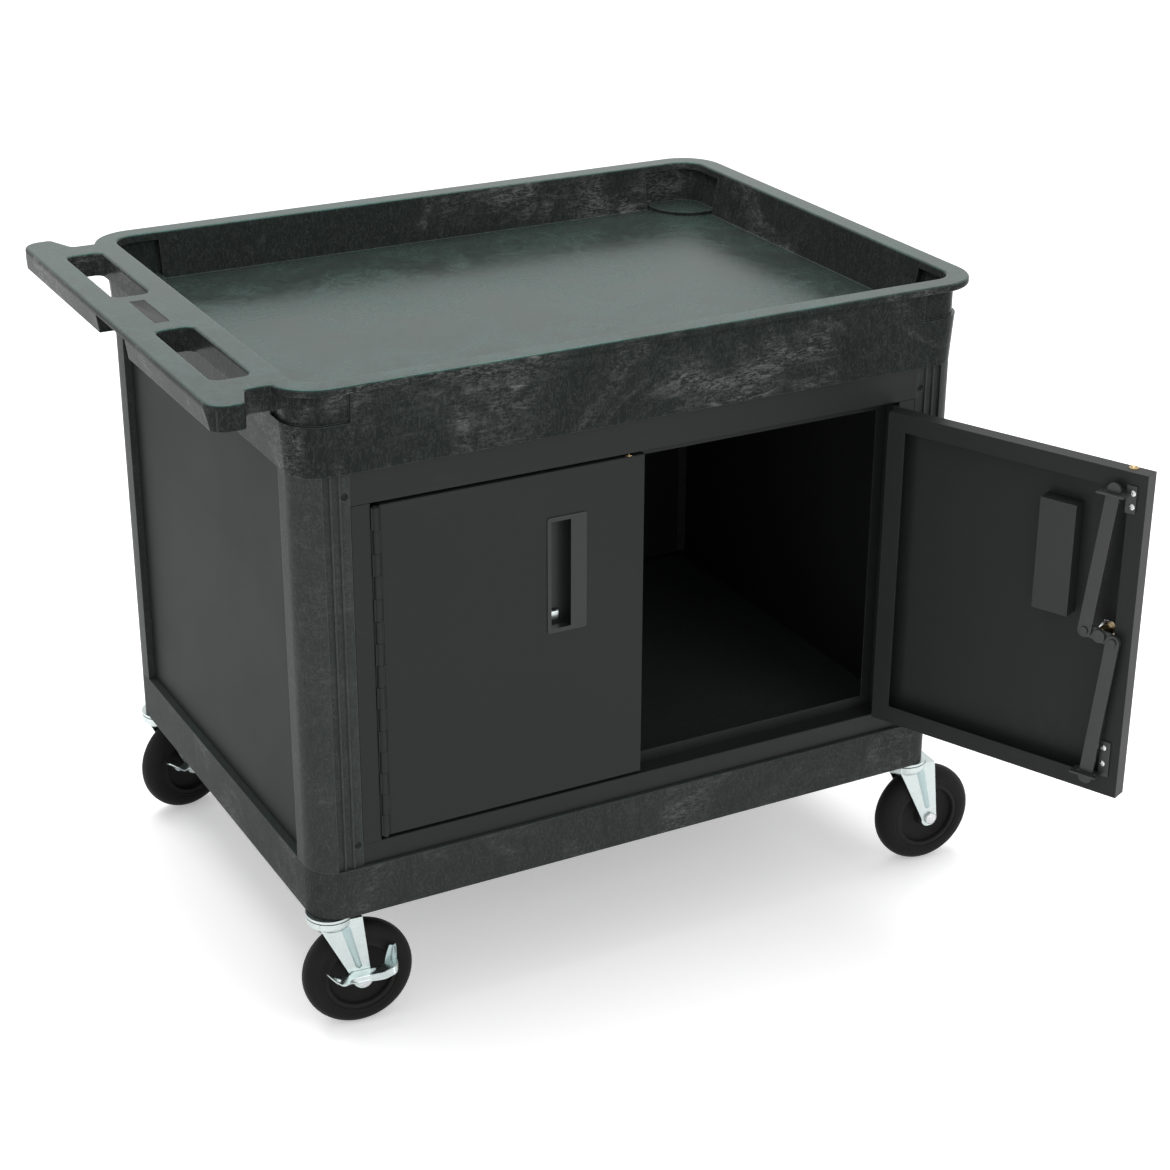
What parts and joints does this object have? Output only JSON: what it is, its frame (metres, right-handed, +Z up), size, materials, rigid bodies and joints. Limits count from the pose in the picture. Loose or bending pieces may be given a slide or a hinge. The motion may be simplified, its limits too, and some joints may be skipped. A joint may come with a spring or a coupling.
{
  "type": "microwave cart",
  "caption": "Wheeled utility cart with a moulded tub top and push handle over a steel cabinet with hinged doors, latch rods and swivel casters.",
  "frame": {"origin": "on the floor below the middle of the cart's outline as pictured, with the right door open", "axes": "+X along the long side, away from the push handle; +Y from the doors to the back; +Z up"},
  "size_m": [0.974, 0.9198, 0.764],
  "materials": {
    "black_moulding": "grained, semi-matte black structural plastic",
    "black_steel": "semi-matte black powder coat",
    "zinc": "bright zinc plate",
    "bright_screw": "bright plated",
    "brass": "polished",
    "tyre": "matte black rubber",
    "hub": "moulded dark grey hub",
    "dark_bar": "black finished bar"
  },
  "bodies": {
    "cart": {"top_tub": "black_moulding", "base_shelf": "black_moulding", "post_front_left": "black_moulding", "post_front_right": "black_moulding", "post_back_left": "black_moulding", "post_back_right": "black_moulding", "side_panel_left": "black_steel", "side_panel_right": "black_steel", "back_panel": "black_steel", "frame_rail_top": "black_steel", "frame_rail_bottom": "black_steel", "frame_stile_left": "black_steel", "frame_stile_right": "black_steel", "door_stops": "black_steel", "hinge_frame_leaf_left": "black_steel", "hinge_frame_leaf_right": "black_steel", "hinge_pin_left": "black_steel", "hinge_pin_right": "black_steel", "post_screws": "bright_screw", "hinge_screws": "bright_screw", "caster_race_front_left": "zinc", "caster_race_front_right": "zinc", "caster_race_back_left": "zinc", "caster_race_back_right": "zinc"},
    "door_left": {"door_pan_left": "black_steel", "hinge_door_leaf_left": "black_steel", "pull_cup_left": "black_steel", "ball_catch_barrel_left": "brass"},
    "door_right": {"door_pan_right": "black_steel", "hinge_door_leaf_right": "black_steel", "pull_cup_right": "black_steel", "ball_catch_barrel_right": "brass", "lock_body": "brass", "lock_nut": "bright_screw", "rod_guide_upper": "dark_bar", "rod_guide_lower": "dark_bar", "guide_screws": "bright_screw"},
    "catch_left": {"ball_catch_ball_left": "brass"},
    "catch_right": {"ball_catch_ball_right": "brass"},
    "cam": {"lock_cam": "dark_bar"},
    "rod_upper": {"latch_rod_upper": "dark_bar"},
    "rod_lower": {"latch_rod_lower": "dark_bar"},
    "caster_front_left": {"caster_yoke_front_left": "zinc", "caster_axle_front_left": "zinc"},
    "wheel_front_left": {"caster_hub_front_left": "hub", "caster_tyre_front_left": "tyre"},
    "pedal_front_left": {"brake_pedal_front_left": "zinc"},
    "caster_front_right": {"caster_yoke_front_right": "zinc", "caster_axle_front_right": "zinc"},
    "wheel_front_right": {"caster_hub_front_right": "hub", "caster_tyre_front_right": "tyre"},
    "caster_back_left": {"caster_yoke_back_left": "zinc", "caster_axle_back_left": "zinc"},
    "wheel_back_left": {"caster_hub_back_left": "hub", "caster_tyre_back_left": "tyre"},
    "pedal_back_left": {"brake_pedal_back_left": "zinc"},
    "caster_back_right": {"caster_yoke_back_right": "zinc", "caster_axle_back_right": "zinc"},
    "wheel_back_right": {"caster_hub_back_right": "hub", "caster_tyre_back_right": "tyre"}
  },
  "joints": [
    {"name": "door_left_hinge", "type": "hinge", "parent": "cart", "child": "door_left", "pos_m": [-0.31046, -0.15507, 0.43], "axis": [0, 0, -1], "range_deg": [0, 160]},
    {"name": "door_right_hinge", "type": "hinge", "parent": "cart", "child": "door_right", "pos_m": [0.33354, -0.15507, 0.43], "axis": [0, 0, 1], "range_deg": [-113.6, 46.4]},
    {"name": "catch_left_press", "type": "slide", "parent": "door_left", "child": "catch_left", "axis": [0, 0, -1], "range_m": [0, 0.002], "stiffness_N_per_m": 600, "springref_m": -0.001},
    {"name": "catch_right_press", "type": "slide", "parent": "door_right", "child": "catch_right", "axis": [0, 0, -1], "range_m": [0, 0.002], "stiffness_N_per_m": 600, "springref_m": -0.001},
    {"name": "lock_turn", "type": "hinge", "parent": "door_right", "child": "cam", "pos_m": [0.44008, -0.4239, 0.429], "axis": [0.9164, 0.4003, 0], "range_deg": [0, 81]},
    {"name": "rod_upper_pivot", "type": "hinge", "parent": "cam", "child": "rod_upper", "pos_m": [0.41721, -0.41503, 0.43174], "axis": [0.9164, 0.4003, 0], "range_deg": [-87.92, 0]},
    {"name": "rod_lower_pivot", "type": "hinge", "parent": "cam", "child": "rod_lower", "pos_m": [0.43105, -0.44671, 0.42626], "axis": [0.9164, 0.4003, 0], "range_deg": [-87.97, 0]},
    {"name": "caster_front_left_swivel", "type": "hinge", "parent": "cart", "child": "caster_front_left", "pos_m": [-0.37146, -0.13307, 0.14], "axis": [0, 0, 1], "continuous": true},
    {"name": "wheel_front_left_roll", "type": "hinge", "parent": "caster_front_left", "child": "wheel_front_left", "pos_m": [-0.34256, -0.13544, 0.0635], "axis": [0.0819, 0.9966, 0], "continuous": true},
    {"name": "pedal_front_left_rock", "type": "hinge", "parent": "caster_front_left", "child": "pedal_front_left", "pos_m": [-0.34256, -0.13544, 0.0635], "axis": [0.0819, 0.9966, 0], "range_deg": [0, 12]},
    {"name": "caster_front_right_swivel", "type": "hinge", "parent": "cart", "child": "caster_front_right", "pos_m": [0.39454, -0.13307, 0.14], "axis": [0, 0, 1], "continuous": true},
    {"name": "wheel_front_right_roll", "type": "hinge", "parent": "caster_front_right", "child": "wheel_front_right", "pos_m": [0.42349, -0.13479, 0.0635], "axis": [0.0593, 0.9982, 0], "continuous": true},
    {"name": "caster_back_left_swivel", "type": "hinge", "parent": "cart", "child": "caster_back_left", "pos_m": [-0.37146, 0.41593, 0.14], "axis": [0, 0, 1], "continuous": true},
    {"name": "wheel_back_left_roll", "type": "hinge", "parent": "caster_back_left", "child": "wheel_back_left", "pos_m": [-0.34332, 0.42295, 0.0635], "axis": [-0.2419, 0.9703, 0], "continuous": true},
    {"name": "pedal_back_left_rock", "type": "hinge", "parent": "caster_back_left", "child": "pedal_back_left", "pos_m": [-0.34332, 0.42295, 0.0635], "axis": [-0.2419, 0.9703, 0], "range_deg": [0, 12]},
    {"name": "caster_back_right_swivel", "type": "hinge", "parent": "cart", "child": "caster_back_right", "pos_m": [0.39454, 0.41593, 0.14], "axis": [0, 0, 1], "continuous": true},
    {"name": "wheel_back_right_roll", "type": "hinge", "parent": "caster_back_right", "child": "wheel_back_right", "pos_m": [0.42338, 0.41896, 0.0635], "axis": [-0.1045, 0.9945, 0], "continuous": true}
  ],
  "couplings": [
    {"joint": "rod_upper_pivot", "follows": "lock_turn", "ratio": -1.073},
    {"joint": "rod_lower_pivot", "follows": "lock_turn", "ratio": -1.0737}
  ]
}
